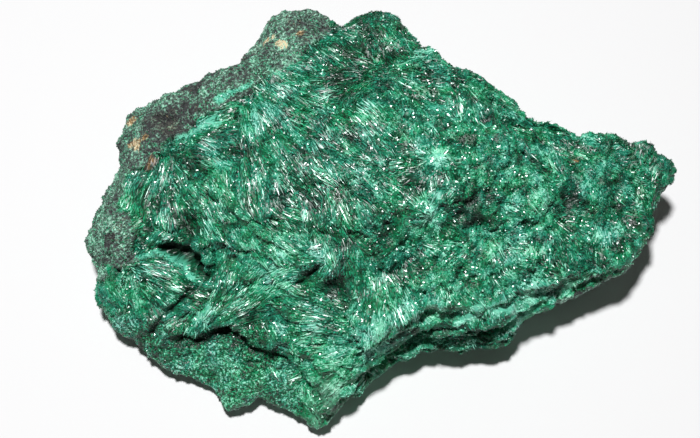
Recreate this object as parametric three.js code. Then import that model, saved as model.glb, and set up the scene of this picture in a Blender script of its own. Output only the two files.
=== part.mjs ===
// A hand-sized lump of silky, fibrous malachite, broken out of a thicker crust. It is one solid.
// Its crown is a shallow dome. A broken wall, layered along the front, runs round it and ends below
// in the stone's widest line, the rim. Under the rim the stone curves in to a worn flat patch, which
// it rests on.
// Millimetres, +Z up, +X towards the thin end, -Y to the front. The origin is on the resting plane,
// under the middle of the stone.
import * as THREE from "three";
import { ImprovedNoise } from "three/addons/math/ImprovedNoise.js";
import { mergeVertices } from "three/addons/utils/BufferGeometryUtils.js";

// The stone's overall size.
const LENGTH = 112;
const DEPTH = 84;
const HEIGHT = 36;

// The skin starts as a box, divided this finely across its top and bottom and up its sides.
const ACROSS = 42;
const UP = 5;

// The skin's rows close in on this point in plan.
const CENTRE = new THREE.Vector2(-4, 2);

// The resting patch is the rim's outline shrunk to this share. It takes PATCH_ROWS of the rows.
const PATCH_SIZE = 0.52;
const PATCH_ROWS = 0.35;

// How far a spot height holds sway over the crown.
const SPOT_REACH = 6.5;

// How far the wall stands out, row by row from the rim to the shoulder, where it is fully layered.
const LAYERS = [0, -1.3, 0.7, 0.5, -1.3, 0];

// The outline's four sides, each from one corner of the stone to the next, anticlockwise from the
// thin end. Each station gives the rim's x, y and z, then how far in the shoulder lies, how high it
// stands, and how strongly the wall between them is layered.
const BACK = [
  [56, 7, 13.5, 2.5, 16.5, 0],
  [55, 10, 15, 2.5, 18, 0],
  [49, 13.5, 16, 2.5, 19, 0],
  [42, 15, 16, 2.5, 19, 0],
  [40, 14, 14, 2.5, 18, 0],
  [37, 16, 16, 2.5, 20, 0],
  [28, 18.5, 18, 3, 23.5, 0],
  [22, 24, 18, 3, 25, 0],
  [12, 30, 18, 3, 26, 0],
  [8, 34, 18, 3, 26, 0],
  [4, 40.5, 17, 3.5, 24, 0],
  [-1, 42, 17, 4, 24, 0],
  [-4, 40, 18, 3, 25, 0],
  [-9, 40, 17, 3.5, 25, 0],
  [-13, 43, 16, 4.5, 23, 0],
  [-17.5, 44, 15.5, 4.5, 22, 0],
];
const RIND = [
  [-17.5, 44, 15.5, 4.5, 22, 0],
  [-21.5, 42.5, 15, 5, 22, 0],
  [-26, 35.5, 13.5, 7, 24, 0],
  [-29.5, 32.5, 13, 8, 24, 0],
  [-36.5, 29.5, 12, 9, 24, 0],
  [-43.5, 27, 11, 9, 23, 0],
  [-49.5, 23.5, 10, 8, 22, 0],
  [-51, 20, 9.5, 7, 20, 0],
  [-51, 15, 9, 6, 19, 0],
  [-50.5, 12, 9, 6, 19, 0],
  [-53, 7, 9, 5, 18, 0],
  [-54.5, 2, 8, 5, 17, 0],
  [-56, -4, 8, 5, 16.5, 0],
];
const FRONT = [
  [-56, -4, 8, 5, 16.5, 0],
  [-55, -7, 7, 5, 16, 0],
  [-54, -11, 6, 5, 15, 0],
  [-53, -14, 5, 5, 13, 0],
  [-50, -19, 4, 5, 12, 0],
  [-45, -23, 3.5, 4.5, 11, 0],
  [-40, -27, 3, 4.5, 9.5, 0],
  [-36, -29, 3, 4, 8.5, 0],
  [-31, -32, 2.5, 4, 8, 0],
  [-28, -35, 2.5, 4, 7, 0],
  [-25, -33.5, 3, 3, 7, 0],
  [-20, -33.5, 3, 3, 7.5, 0],
  [-16, -35.5, 3, 3, 7.5, 0],
  [-12, -40, 3, 3, 7, 0],
];
const LAYERED = [
  [-12, -40, 3, 3, 7, 0],
  [-9, -37.5, 3.5, 3, 9, 0.3],
  [-6, -33, 5, 3, 14, 0.6],
  [-1.5, -30.5, 6, 3, 17, 0.8],
  [5, -26.5, 7, 3, 19, 1],
  [7.5, -24.5, 7.5, 3, 19, 1],
  [14, -24.5, 7, 4, 19, 1],
  [20, -24.5, 7, 5, 18, 1],
  [23, -23, 8, 4.5, 18, 1],
  [27, -19.5, 10, 3, 17.5, 0.8],
  [33, -17.5, 11, 2.5, 17.5, 0.5],
  [41, -14, 12, 2.5, 17, 0.4],
  [44, -11.5, 12, 2.5, 16.5, 0.2],
  [48, -8, 12.5, 2.5, 16, 0],
  [51, -3.5, 12.5, 2.5, 16, 0],
  [51.5, 0, 12.5, 2.5, 16, 0],
  [56, 7, 13.5, 2.5, 16.5, 0],
];

// Spot heights over the crown, as x, y and z.
const CROWN_SPOTS = [
  [-14, 3, 32],
  [0, 5, 34],
  [9, -10, 33],
  [-5, -10, 32],
  [-23, -6, 29],
  [17, -15, 29],
  [20, 6, 31],
  [29, -2, 26],
  [37, 8, 21],
  [35, 2, 24],
  [39, -6, 21],
  [46, 6, 18],
  [46, -4, 17],
  [0, 24, 28],
  [13, 15, 30],
  [-15, 17, 30],
  [-9, 29, 27],
  [-19, 25, 26],
  [-24, 20, 27],
  [-35, 14, 25],
  [-44, 7, 21],
  [-36, 0, 25],
  [-46, -2, 20],
  [-33, -14, 21],
  [-23, -21, 21],
  [-14, -22, 22],
  [-6, -24, 23],
  [5, -21, 25],
  [-30, -22, 16],
];

// The lobe at the left front, where crystals fan out of one root, and the crevice behind it.
const LOBE = { at: new THREE.Vector2(-42, -14), height: 2.5, radius: 8 };
const CREVICE = { from: [-45, -8], to: [-33, -13], depth: 4, width: 2.4 };

// The crown breaks down along this ledge to a low shelf at the left front.
const LEDGE = [[-43, -21], [-36, -24], [-29, -25], [-21, -26], [-13, -30], [-8, -36]];
const SHELF_DROP = 5;
const LEDGE_WIDTH = 2.2;

// The skin's roughness: how high its waves stand and how long they are, coarse first.
const ROUGHNESS = [
  { height: 1.1, wave: 9 },
  { height: 0.9, wave: 4.5 },
];

const noise = new ImprovedNoise();
const { lerp, smoothstep } = THREE.MathUtils;

function shoulderOf([x, y, , inset, z]) {
  const inward = CENTRE.clone().sub(new THREE.Vector2(x, y)).setLength(inset);
  return new THREE.Vector3(x + inward.x, y + inward.y, z);
}

// A side of the outline as three curves that run together.
function sideCurves(stations) {
  const curve = (points) => new THREE.CatmullRomCurve3(points, false, "centripetal");
  return {
    rim: curve(stations.map(([x, y, z]) => new THREE.Vector3(x, y, z))),
    shoulder: curve(stations.map(shoulderOf)),
    layering: curve(stations.map(([x, , , , , layering]) => new THREE.Vector3(x, layering, 0))),
  };
}

const SIDES = [BACK, RIND, FRONT, LAYERED];
const CURVES = SIDES.map(sideCurves);
const SPOTS = [
  ...CROWN_SPOTS.map((spot) => new THREE.Vector3(...spot)),
  ...SIDES.flat().map(shoulderOf),
];

// How far round the outline a point of the box's square section lies, counted in sides.
function sidesRound(u, v, reach) {
  if (u === reach && v < reach) return (v / reach + 1) / 2;
  if (v === reach && u > -reach) return 1 + (1 - u / reach) / 2;
  if (u === -reach && v > -reach) return 2 + (1 - v / reach) / 2;
  return 3 + (1 + u / reach) / 2;
}

function segmentDistance(x, y, [ax, ay], [bx, by]) {
  const along = ((x - ax) * (bx - ax) + (y - ay) * (by - ay)) / ((bx - ax) ** 2 + (by - ay) ** 2);
  const t = THREE.MathUtils.clamp(along, 0, 1);
  return Math.hypot(x - lerp(ax, bx, t), y - lerp(ay, by, t));
}

// The front edge of the high ground, as y over x. In front of it lies the shelf.
function ledgeLine(x) {
  const next = LEDGE.findIndex(([px]) => px > x);
  if (next < 1) return -Infinity;
  const [[ax, ay], [bx, by]] = [LEDGE[next - 1], LEDGE[next]];
  return lerp(ay, by, (x - ax) / (bx - ax));
}

// The crown's height over a point in plan.
function crownHeight(x, y) {
  let sum = 0;
  let weights = 1e-9;
  for (const spot of SPOTS) {
    const weight = Math.exp(-((spot.x - x) ** 2 + (spot.y - y) ** 2) / (2 * SPOT_REACH ** 2));
    sum += weight * spot.z;
    weights += weight;
  }
  const fromLobe = Math.hypot(x - LOBE.at.x, y - LOBE.at.y) / LOBE.radius;
  const lobe = LOBE.height * (1 - smoothstep(fromLobe, 0.3, 1));
  const fromCrevice = segmentDistance(x, y, CREVICE.from, CREVICE.to) / CREVICE.width;
  const crevice = CREVICE.depth * Math.exp(-(fromCrevice ** 2));
  const onShelf = smoothstep(ledgeLine(x) - y, 0, LEDGE_WIDTH);
  return sum / weights + lobe - crevice - SHELF_DROP * onShelf;
}

function crownPoint(shoulder, share) {
  const at = CENTRE.clone().lerp(new THREE.Vector2(shoulder.x, shoulder.y), share);
  const hold = smoothstep(share, 0.85, 1);
  return new THREE.Vector3(at.x, at.y, lerp(crownHeight(at.x, at.y), shoulder.z, hold));
}

function wallPoint(rim, shoulder, layering, share) {
  const at = rim.clone().lerp(shoulder, share);
  const out = new THREE.Vector2(at.x, at.y).sub(CENTRE);
  out.setLength(layering * LAYERS[Math.round(share * UP)]);
  return new THREE.Vector3(at.x + out.x, at.y + out.y, at.z);
}

// Flat in the patch, then a quarter of an ellipse out and up to the rim.
function undersidePoint(rim, share) {
  const turn = (Math.PI / 2) * Math.max(0, (share - PATCH_ROWS) / (1 - PATCH_ROWS));
  const inPatch = PATCH_SIZE * Math.min(1, share / PATCH_ROWS);
  const reach = inPatch + (1 - PATCH_SIZE) * Math.sin(turn);
  const at = CENTRE.clone().lerp(new THREE.Vector2(rim.x, rim.y), reach);
  return new THREE.Vector3(at.x, at.y, rim.z * (1 - Math.cos(turn)));
}

// Moves a point in and out with the noise, except on the resting patch.
function roughen(p) {
  const hold = smoothstep(p.z, 0, 4);
  for (const { height, wave } of ROUGHNESS) {
    const push = height * hold * noise.noise(p.x / wave, p.y / wave, p.z / wave);
    const out = new THREE.Vector2(p.x, p.y).sub(CENTRE).setLength(push);
    p.set(p.x + out.x, p.y + out.y, p.z + push);
  }
  return p;
}

// Where a point of the two-unit box goes on the stone.
function onStone(u, v, w) {
  const share = Math.max(Math.abs(u), Math.abs(v));
  const round = share === 0 ? 0 : sidesRound(u, v, share) % 4;
  const { rim, shoulder, layering } = CURVES[Math.floor(round)];
  const along = round % 1;
  const rimPoint = rim.getPoint(along);
  if (w === -1) return undersidePoint(rimPoint, share);
  const shoulderPoint = shoulder.getPoint(along);
  if (w === 1) return crownPoint(shoulderPoint, share);
  return wallPoint(rimPoint, shoulderPoint, layering.getPoint(along).y, (w + 1) / 2);
}

// Scales the stone to its overall size and stands it on the origin.
function fitToSize(skin) {
  skin.computeBoundingBox();
  const size = skin.boundingBox.getSize(new THREE.Vector3());
  skin.scale(LENGTH / size.x, DEPTH / size.y, HEIGHT / size.z);
  skin.computeBoundingBox();
  const middle = skin.boundingBox.getCenter(new THREE.Vector3());
  skin.translate(-middle.x, -middle.y, -skin.boundingBox.min.z);
}

function stoneSkin() {
  const box = new THREE.BoxGeometry(2, 2, 2, ACROSS, ACROSS, UP);
  box.deleteAttribute("normal");
  box.deleteAttribute("uv");
  const skin = mergeVertices(box);
  const position = skin.getAttribute("position");
  const tidy = (value) => Math.round(value * 1e5) / 1e5;
  for (let i = 0; i < position.count; i++) {
    const [u, v, w] = [position.getX(i), position.getY(i), position.getZ(i)].map(tidy);
    const p = roughen(onStone(u, v, w));
    position.setXYZ(i, p.x, p.y, p.z);
  }
  fitToSize(skin);
  skin.computeVertexNormals();
  return skin;
}

const malachite = new THREE.Mesh(
  stoneSkin(),
  new THREE.MeshStandardMaterial({ color: 0x1f6b4d, roughness: 0.55, metalness: 0 }),
);
malachite.name = "malachite";

const specimen = new THREE.Group();
specimen.add(malachite);

export default specimen;
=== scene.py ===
# %% [markdown]
# # A lump of silky malachite
# Malachite is a copper carbonate. In this stone it grew as sprays: thousands of hair-thin needles
# that fan out of one root. The lump was broken out of a crust, so most of it is the broken inside,
# where the sprays lie open and shine like silk. Along one edge the old rind is left, dull and dark.
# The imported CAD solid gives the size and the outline. Blender makes the fine relief, the finishes and
# the needles, in metres in the CAD's own frame. So the work starts by loading it.

# %% Load the CAD frame
import math

import bpy
import numpy as np
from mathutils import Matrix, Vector
from mathutils.bvhtree import BVHTree


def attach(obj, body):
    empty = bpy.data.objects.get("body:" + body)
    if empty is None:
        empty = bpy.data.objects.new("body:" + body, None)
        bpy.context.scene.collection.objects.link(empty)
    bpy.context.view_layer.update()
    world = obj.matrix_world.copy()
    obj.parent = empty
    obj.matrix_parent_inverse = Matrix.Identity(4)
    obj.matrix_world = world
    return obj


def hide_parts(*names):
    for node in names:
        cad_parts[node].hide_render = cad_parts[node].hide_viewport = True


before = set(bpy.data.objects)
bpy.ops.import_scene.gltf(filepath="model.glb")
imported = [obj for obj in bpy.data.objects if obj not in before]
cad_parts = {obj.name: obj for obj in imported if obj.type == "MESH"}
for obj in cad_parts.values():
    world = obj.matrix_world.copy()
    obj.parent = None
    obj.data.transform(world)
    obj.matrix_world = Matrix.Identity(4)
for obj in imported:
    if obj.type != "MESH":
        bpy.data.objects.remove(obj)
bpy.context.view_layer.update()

MM = 0.001

# %% [markdown]
# ## Camera
# The stone is seen from high above its front edge, as one looks at something in the hand. A short
# telephoto lens keeps the far side from shrinking. The camera comes first, so that every later
# choice can be judged from the same place.

# %% Camera
VIEW_HEIGHT = math.radians(64)
VIEW_DISTANCE = 256 * MM
VIEW_TARGET = Vector((-5.3, -3.75, 15)) * MM


def add_object(name, data):
    item = bpy.data.objects.new(name, data)
    bpy.context.scene.collection.objects.link(item)
    return item


def aim(item, target):
    item.rotation_euler = (target - item.location).to_track_quat("-Z", "Y").to_euler()


camera = add_object("camera", bpy.data.cameras.new("camera"))
camera.data.lens = 70
camera.data.clip_start = 0.01
camera.location = VIEW_TARGET + VIEW_DISTANCE * Vector(
    (0, -math.cos(VIEW_HEIGHT), math.sin(VIEW_HEIGHT))
)
aim(camera, VIEW_TARGET)
bpy.context.scene.camera = camera
print("camera at, mm:", [round(v / MM) for v in camera.location])

# %% [markdown]
# ## Light
# Needles only glitter under a lamp that is small for its distance: each facet mirrors the lamp or
# misses it. So one compact round lamp hangs almost straight overhead, a little to the left, and
# a weak even sky keeps the shadows from going black. The floor is plain white.

# %% Lamp, sky and floor
LAMP_AT = Vector((-60, 20, 700)) * MM
LAMP_SIZE = 75 * MM
LAMP_POWER = 6.2
SKY_STRENGTH = 0.055


def new_material(name):
    """A material, its node tree and its shader."""
    material = bpy.data.materials.new(name)
    material.use_nodes = True
    return material, material.node_tree, material.node_tree.nodes["Principled BSDF"]


lamp = add_object("lamp", bpy.data.lights.new("lamp", "AREA"))
lamp.data.shape = "DISK"
lamp.data.size = LAMP_SIZE
lamp.data.energy = LAMP_POWER
lamp.location = LAMP_AT
aim(lamp, Vector((0, 0, 0)))

world = bpy.data.worlds.new("sky")
world.use_nodes = True
sky = world.node_tree.nodes["Background"].inputs
sky["Color"].default_value = (1, 0.93, 0.89, 1)
sky["Strength"].default_value = SKY_STRENGTH
bpy.context.scene.world = world
bpy.context.scene.view_settings.view_transform = "Standard"

bpy.ops.object.select_all(action="DESELECT")
bpy.ops.mesh.primitive_plane_add(size=4, location=(0, 0, -0.05 * MM))
floor = bpy.context.object
floor.name = "floor"
paper, _, shader = new_material("white paper")
shader.inputs["Base Color"].default_value = (0.74, 0.74, 0.745, 1)
shader.inputs["Roughness"].default_value = 0.9
floor.data.materials.append(paper)
print("lamp", LAMP_POWER, "W")

# %% [markdown]
# ## The mass of the stone
# The CAD solid has faces 2 mm across, far too coarse for broken stone. A sculptor would remesh it
# finely and carve. Remesh lays a new skin of half millimetre squares over a copy, and Smooth takes
# out the CAD's facets. The copy's loose triangles are merged first.

# %% Remesh a copy of the CAD solid
GRID = 0.48 * MM


def select_only(item):
    bpy.ops.object.select_all(action="DESELECT")
    item.select_set(True)
    bpy.context.view_layer.objects.active = item


def apply_modifier(item, kind, **settings):
    select_only(item)
    modifier = item.modifiers.new(kind, kind)
    for name, value in settings.items():
        setattr(modifier, name, value)
    bpy.ops.object.modifier_apply(modifier=modifier.name)


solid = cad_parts["malachite"]
mass = add_object("stone_mass", solid.data.copy())
select_only(mass)
bpy.ops.object.mode_set(mode="EDIT")
bpy.ops.mesh.select_all(action="SELECT")
bpy.ops.mesh.remove_doubles(threshold=0.01 * MM)
bpy.ops.object.mode_set(mode="OBJECT")
apply_modifier(mass, "REMESH", mode="VOXEL", voxel_size=GRID)
apply_modifier(mass, "SMOOTH", factor=0.5, iterations=5)
print("stone_mass:", len(mass.data.polygons), "squares")

# %% [markdown]
# ## Helpers for carving in numbers
# The relief follows the way the needles grow, and no brush or texture knows that. So the carving is
# done on all points at once, as arrays in millimetres: read the points, work out how far each one
# moves, write them back. The noise is a smooth random field with about one wave per unit.


# %% Points and noise
def read(items, name, width=1):
    values = np.empty(len(items) * width, np.float32)
    items.foreach_get(name, values)
    return values.reshape(-1, width).astype(float) if width > 1 else values.astype(float)


def points_of(item):
    return read(item.data.vertices, "co", 3) / MM


def move_points(item, points):
    item.data.vertices.foreach_set("co", (points * MM).astype(np.float32).ravel())
    item.data.update()


def normals_of(item):
    return read(item.data.vertex_normals, "vector", 3)


def cell_key(cell, seed):
    return cell @ np.array([73856093, 19349663, 83492791]) + seed * 5915587277


def scramble(key):
    """Turns each whole number into a random one from 0 to 0x7FFFFFFF."""
    key = (key ^ key >> 13) * 1274126177 & 0x7FFFFFFF
    return (key ^ key >> 15) * 668265263 & 0x7FFFFFFF


def noise(points, seed):
    """Smooth noise from -1 to 1."""
    cell = np.floor(points).astype(np.int64)
    part = points - cell
    part = part * part * (3 - 2 * part)
    total = np.zeros(len(points))
    for corner in range(8):
        step = np.array([corner & 1, corner >> 1 & 1, corner >> 2 & 1])
        share = np.where(step, part, 1 - part).prod(1)
        total += share * (scramble(cell_key(cell + step, seed)) / 0x3FFFFFFF - 1)
    return total


def shift(points, seed):
    """Three noises, as a vector to push each point by."""
    return np.stack([noise(points, seed + number) for number in range(3)], 1)


print("noise runs from", noise(points_of(mass), 1).min().round(2))

# %% [markdown]
# ## How the needles grow
# Each spray has a root, and its needles run out of it in all directions. Where the root lies beside
# the break, they are seen from the side, as streaks. Where it lies right below, only their tips are
# seen, as velvet. So a spray is given by the middle of the place where it shows, and by its root.

# %% Sprays on the crown
SPRAYS = [
    # x, y of its middle, x, y of its root, depth of the root (all mm)
    (-40, -15, -46, -13, 1.5), (-36, -17, -46, -13, 1.5), (-43, -20, -46, -13, 1.5),
    (-37, -12.5, -46, -13, 1.5), (-45, 1, -39, 14, 3), (-38, -6, -41, 12, 3), (-29, -8, -36, 17, 4),
    (-31, 2, -41, 11, 3), (-23, -3, -27, 23, 4), (-18, 9, -26, 21, 2), (-10, -5, -23, 17, 4),
    (-2, 5, -17, 21, 3), (8, 15, 0, 19, 2), (-9, 27, -21, 34, 1), (2, 30, -3, 36, 2),
    (-10, -14, -13, -2, 3), (-17, -14, -26, -2, 3), (3, -24, 0, -15, 3), (26, -20, 17, -13, 3),
    (-12, -23, 3, -27, 2), (-10, -28, 3, -27, 2), (-9, -35, 2, -28, 4), (-27, -22, -34, -25, 1),
    (-26, -18, -33, -24, 2), (10, -1.5, 10, -1.5, 2), (8.5, -10, 8.5, -10, 2), (18, -7, 15, -3, 10),
    (27, -2, 23, 4, 9), (33, -9, 29, -4, 9), (18, -14, 19, -9, 9), (3, -14, 3, -11, 9),
    (43, 2, 38, 8, 8), (45, -7, 40, -1, 8), (12, -21, 11, -14, 7), (26, 11, 18, 15, 3),
    (20, 12, 13, 19, 2), (33, 10, 28, 14, 3), (-14, -18, -8, -17, 1), (-37, -24, -32, -20, 1),
    (-3, -19, -6, -12, 3), (-6, -8, -10, 2, 3), (7, 5, 3, 14, 4),
]
EXTRA_SPRAYS = 70
EXTRA_CLEAR = 9


def surface_height(tree, x, y):
    hit = tree.ray_cast(Vector((x, y, 100)) * MM, Vector((0, 0, -1)))[0]
    return (hit.z if hit else 10 * MM) / MM


tree = BVHTree.FromObject(mass, bpy.context.evaluated_depsgraph_get())
chance = np.random.default_rng(7)
middles, roots = [], []
for x, y, root_x, root_y, depth in SPRAYS:
    middles.append((x, y, surface_height(tree, x, y)))
    roots.append((root_x, root_y, surface_height(tree, root_x, root_y) - depth))

points, normals = points_of(mass), normals_of(mass)
for pick in chance.permutation(len(points)):
    place, outward = points[pick], normals[pick]
    if min(np.linalg.norm(place - np.array(m)) for m in middles) > EXTRA_CLEAR:
        middles.append(tuple(place))
        roots.append(tuple(place - outward * chance.uniform(3, 9) + chance.normal(0, 8, 3)))
    if len(middles) == len(SPRAYS) + EXTRA_SPRAYS:
        break
middles, roots = np.array(middles), np.array(roots)
print(len(middles), "sprays")

# %% [markdown]
# Every point of the surface belongs to the spray whose middle is nearest. Real borders aren't
# straight, so noise pushes the points about before they are compared. A point's place among the
# needles is squashed along them, so a pattern that is read there is drawn out into streaks.

# %% Which spray each point belongs to
ALONG_SQUASH = 0.2


def unit(vectors):
    return vectors / np.maximum(np.linalg.norm(vectors, axis=-1, keepdims=True), 1e-9)


def grow(points, normals):
    """For each point: its spray, the direction of its needles, and its place among them."""
    blurred = points + 1.6 * shift(points / 4, 11) + 0.6 * shift(points / 1.4, 14)
    spray = np.zeros(len(points), int)
    nearest = np.full(len(points), np.inf)
    for number, middle in enumerate(middles):
        gap = np.linalg.norm(blurred - middle, axis=1)
        spray[gap < nearest] = number
        nearest = np.minimum(nearest, gap)
    way = points - roots[spray]
    reach = np.linalg.norm(way, axis=1)
    way = unit(way)
    usual = np.linalg.norm(middles - roots, axis=1)[spray]
    place = way * (usual + ALONG_SQUASH * reach)[:, None] + spray[:, None] * 7.3
    return spray, way, place


spray, way, place = grow(points, normals)
print("largest spray has", np.bincount(spray).max(), "points")

# %% [markdown]
# ## Zones
# The rind is a crumbly crust with black and rusty spots. The front edge is layered like slate. At the
# left front the crown breaks down to a low shelf of fine grains. Each zone is a value from 0 to 1 at
# every point, made from lines in plan that are ragged with noise. It steers carving and colours.

# %% Zones of the stone
RIND_OUTLINE = [
    (-60, -13), (-47, -13.5), (-44.7, -12), (-45.2, -8), (-49.5, 0), (-47, 4), (-43, 5), (-40, 10),
    (-34, 12), (-27, 14), (-22, 19), (-15, 25), (-10, 31), (-9, 50), (-60, 50),
]
SHELF_LINE = [(-60, -17), (-46, -21), (-36, -25), (-29, -25.5), (-21, -27), (-16, -31), (-13, -45)]
LAYERED_FROM, LAYERED_TO = -7, 31
LIP_LINE = [
    (-13, -43), (-9, -39), (-6, -35.4), (-3.8, -32.9), (-0.3, -30.6), (1.9, -29.2), (5, -26.9),
    (9, -25.3), (12, -24.9), (14.6, -24), (16.5, -23), (20, -22), (26, -21.4), (30, -20.2),
    (38, -17), (48, -10), (56, -2),
]


def ease(values, low, high):
    """0 below low, 1 above high and a smooth step between. Works downhill too."""
    share = ((values - low) / (high - low)).clip(0, 1)
    return share * share * (3 - 2 * share)


def inside(points, outline):
    """True for points that lie in an outline in plan."""
    found = np.zeros(len(points), bool)
    x, y = points[:, 0], points[:, 1]
    for (ax, ay), (bx, by) in zip(outline, outline[1:] + outline[:1]):
        crosses = (ay > y) != (by > y)
        found ^= crosses & (x < (bx - ax) * (y - ay) / (by - ay + 1e-12) + ax)
    return found


ragged = points + 1.2 * shift(points / 3, 21) + 0.5 * shift(points / 1.1, 24)
up = normals[:, 2]
zones = {}
in_rind = inside(ragged, RIND_OUTLINE) & (up > 0)
below = ease(up + 0.15 * noise(points / 3, 27), 0.12, -0.12)
front_wall = ease(up, 0.62, 0.45) * ease(points[:, 0], LAYERED_FROM - 2, LAYERED_FROM + 2)
past_lip = points[:, 1] - np.interp(points[:, 0], *zip(*LIP_LINE))
front_wall *= ease(past_lip, 1.0, 0.0) * ease(up, -0.75, -0.55)
front_wall *= ease(points[:, 0], LAYERED_TO + 3, LAYERED_TO - 3)
shelf_y = np.interp(ragged[:, 0], *zip(*SHELF_LINE))
zones["layered"] = front_wall
zones["rind"] = np.maximum(in_rind, below * (1 - front_wall))
zones["shelf"] = (ragged[:, 1] < shelf_y) * (1 - zones["rind"]) * (points[:, 0] < -10)
print({name: round(float(values.mean()), 2) for name, values in zones.items()})

# %% [markdown]
# ## Carving the relief
# The break jumped from one spray to the next, and the needles of a spray part in bundles. Towards
# the tip the stone broke in coarse crumbs. Each cause is one term in millimetres, and they are added
# up before any point moves. Bundles have sharp borders, so they use cells: every point takes the
# random values of the nearest seed.

# %% Bundles, grains and crumbs
SPRAY_STEP = 0.55


def ridges(points, seed):
    """Sharp crests at 1 and round valleys at 0."""
    return 1 - np.abs(noise(points, seed)) * 1.8


def cells(points, seed):
    """Three random values from -1 to 1 for each cell."""
    home = np.floor(points).astype(np.int64)
    nearest = np.full(len(points), np.inf)
    values = np.zeros((len(points), 3))
    for number in range(27):
        cell = home + (number % 3 - 1, number // 3 % 3 - 1, number // 9 - 1)
        key = cell_key(cell, seed)
        luck = []
        for _ in range(6):
            key = scramble(key)
            luck.append(key / 0x7FFFFFFF)
        gap = np.linalg.norm(cell + np.stack(luck[:3], 1) - points, axis=1)
        closer = gap < nearest
        values[closer] = np.stack(luck[3:], 1)[closer] * 2 - 1
        nearest = np.minimum(nearest, gap)
    return values


open_break = 1 - np.maximum.reduce([zones["rind"], zones["layered"], zones["shelf"]])
steps = chance.uniform(-SPRAY_STEP, SPRAY_STEP, len(middles))[spray]
splinter, sliver, fibre = cells(place / 1.7, 31), cells(place / 0.95, 32), cells(place / 0.8, 38)
bundles = 0.42 * splinter[:, 0] + 0.26 * sliver[:, 0]
broad = 0.6 * noise(points / 8, 33) + 0.5 * noise(points / 3.6, 34)
grains = 0.3 * noise(points / 1.5, 35) + 0.25 * noise(points / 0.9, 36)
carve = broad + open_break * (steps + bundles) + (1 - 0.6 * open_break) * grains
carve += 0.5 * np.maximum(zones["shelf"], zones["rind"]) * (ridges(points / 2.2, 37) - 0.5)
shaded_hollow = ease(noise(points / 2.4, 48) + 0.5 * noise(points / 1.2, 39), 0.1, 0.8) * open_break
carve -= 0.8 * shaded_hollow
chunky = ease(points[:, 0] + 4 * noise(points / 7, 57), 6, 18) * open_break
carve += 0.4 * chunky * noise(points / 1.9, 95)
print("bundles stand out up to", bundles.max().round(2), "mm")

# %% [markdown]
# Some bundles fell out and left hollows, and these are painted darker as well: painted shade.
# Others stand proud and flash, as do the single bright needles that fan out on the left lobe; they
# are painted a little lighter as well: painted highlight. They are seen one by one, so they are
# listed one by one: hollows and bright patches as soft round spots, needles as strokes along a line.

# %% Hollows, bright patches and streaks
SHADED_HOLLOWS = [
    # x, y, radius (mm) and depth of the hollows; the depth also paints them darker, as painted shade
    (-35, 3.5, 2.8, 1), (-32.5, 1.5, 2, 0.9), (-25.5, 3.5, 1.8, 0.9), (-7.5, -20, 2.6, 1),
    (-6, -15, 1.8, 0.9), (16.5, -10, 2.7, 0.6), (17, -6.5, 1.8, 0.45), (-7, 18, 2.6, 0.9),
    (-22.5, -25, 2.6, 0.8), (4.5, -18.5, 2, 0.8), (34, -7.5, 2.4, 0.9), (35, -3, 2, 0.7),
    (3, 25, 2, 0.7), (8.5, 19, 2, 0.6), (7, 14, 2, 0.6), (14.5, 2, 2, 0.8),
    (7, -5.5, 2, 0.7), (-12.5, -8, 2.4, 0.5), (19, 10, 1.6, 0.4), (24, 11, 1.5, 0.4),
    (28, 10, 2, 0.5), (-42, -22.5, 2, 0.7), (-26, 0, 2, 0.5), (-18, -10, 2, 0.5), (1, -13, 2, 0.6),
    (-35, -8, 1.8, 0.7), (-43, -3, 2, 0.4),
]
SHINES = [
    # x, y and radius (mm) of the bright patches, carved proud and painted lighter as painted highlight
    (8.5, -10, 2.1), (10, -1.7, 1.6), (3.5, -23.6, 2.4), (-1, -28.5, 2), (-8.5, -16.3, 1.8),
    (27, -20, 2.2), (-28.5, 1.8, 1.8), (-9.3, -5.2, 2), (-1.4, 7.2, 2), (-29.6, -7.1, 2.2),
    (7.8, 24.8, 2.4), (17.2, -23, 2), (-17.5, -17, 2.8), (20.7, -14.5, 2.2),
    (-7, -34.5, 2.6), (-10, 13.5, 2.2), (-32.7, -23, 2), (-17.6, 16.6, 2.6), (41, -7.6, 2.2),
    (-22, 9, 2), (-42, -22.7, 1), (-38, -7, 2), (-12, -27, 2.4), (-40.5, -16, 2), (27, -13.5, 1.4),
]
STREAKS = [
    # bright single streaks of the left lobe, as lines of (x, y, half width), painted lighter as painted
    # highlight
    [(-45.5, -12.7, 0.3), (-42.1, -14.2, 0.35)],
    [(-45.3, -13.8, 0.3), (-43.1, -16.7, 0.3), (-42.3, -18.8, 0.2)],
    [(-44, -14, 0.3), (-39.8, -17.9, 0.3)],
    [(-42.6, -15, 0.3), (-37.1, -18.6, 0.35)],
    [(-47.2, -14.3, 0.25), (-45.6, -18.1, 0.25)],
    [(-48.8, -15.4, 0.25), (-46.9, -18.7, 0.2)],
    [(-46.1, -12.7, 0.2), (-48.6, -15.8, 0.25), (-48, -19.8, 0.25)],
    [(-41, -13.2, 0.2), (-37, -15.2, 0.3)],
]


def fade(gap):
    """1 at no gap, a third at a gap of 1, and almost 0 at 2."""
    return np.exp(-(gap**2))


def spot_distance(points, x, y):
    return np.hypot(points[:, 0] - x, points[:, 1] - y)


def patch(points, x, y, radius):
    """A soft round patch in plan: 1 in the middle, fading to 0."""
    return fade(spot_distance(points, x, y) / radius)


def stroke(points, line):
    """Distance in plan to a line of (x, y, half width), counted in its half width there."""
    nearest = np.full(len(points), np.inf)
    for start, end in zip(np.array(line[:-1], float), np.array(line[1:], float)):
        way = (end - start)[:2]
        share = ((points[:, :2] - start[:2]) @ way / (way @ way)).clip(0, 1)
        gap = np.linalg.norm(points[:, :2] - start[:2] - share[:, None] * way, axis=1)
        nearest = np.minimum(nearest, gap / (start[2] + share * (end[2] - start[2])))
    return nearest


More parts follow.
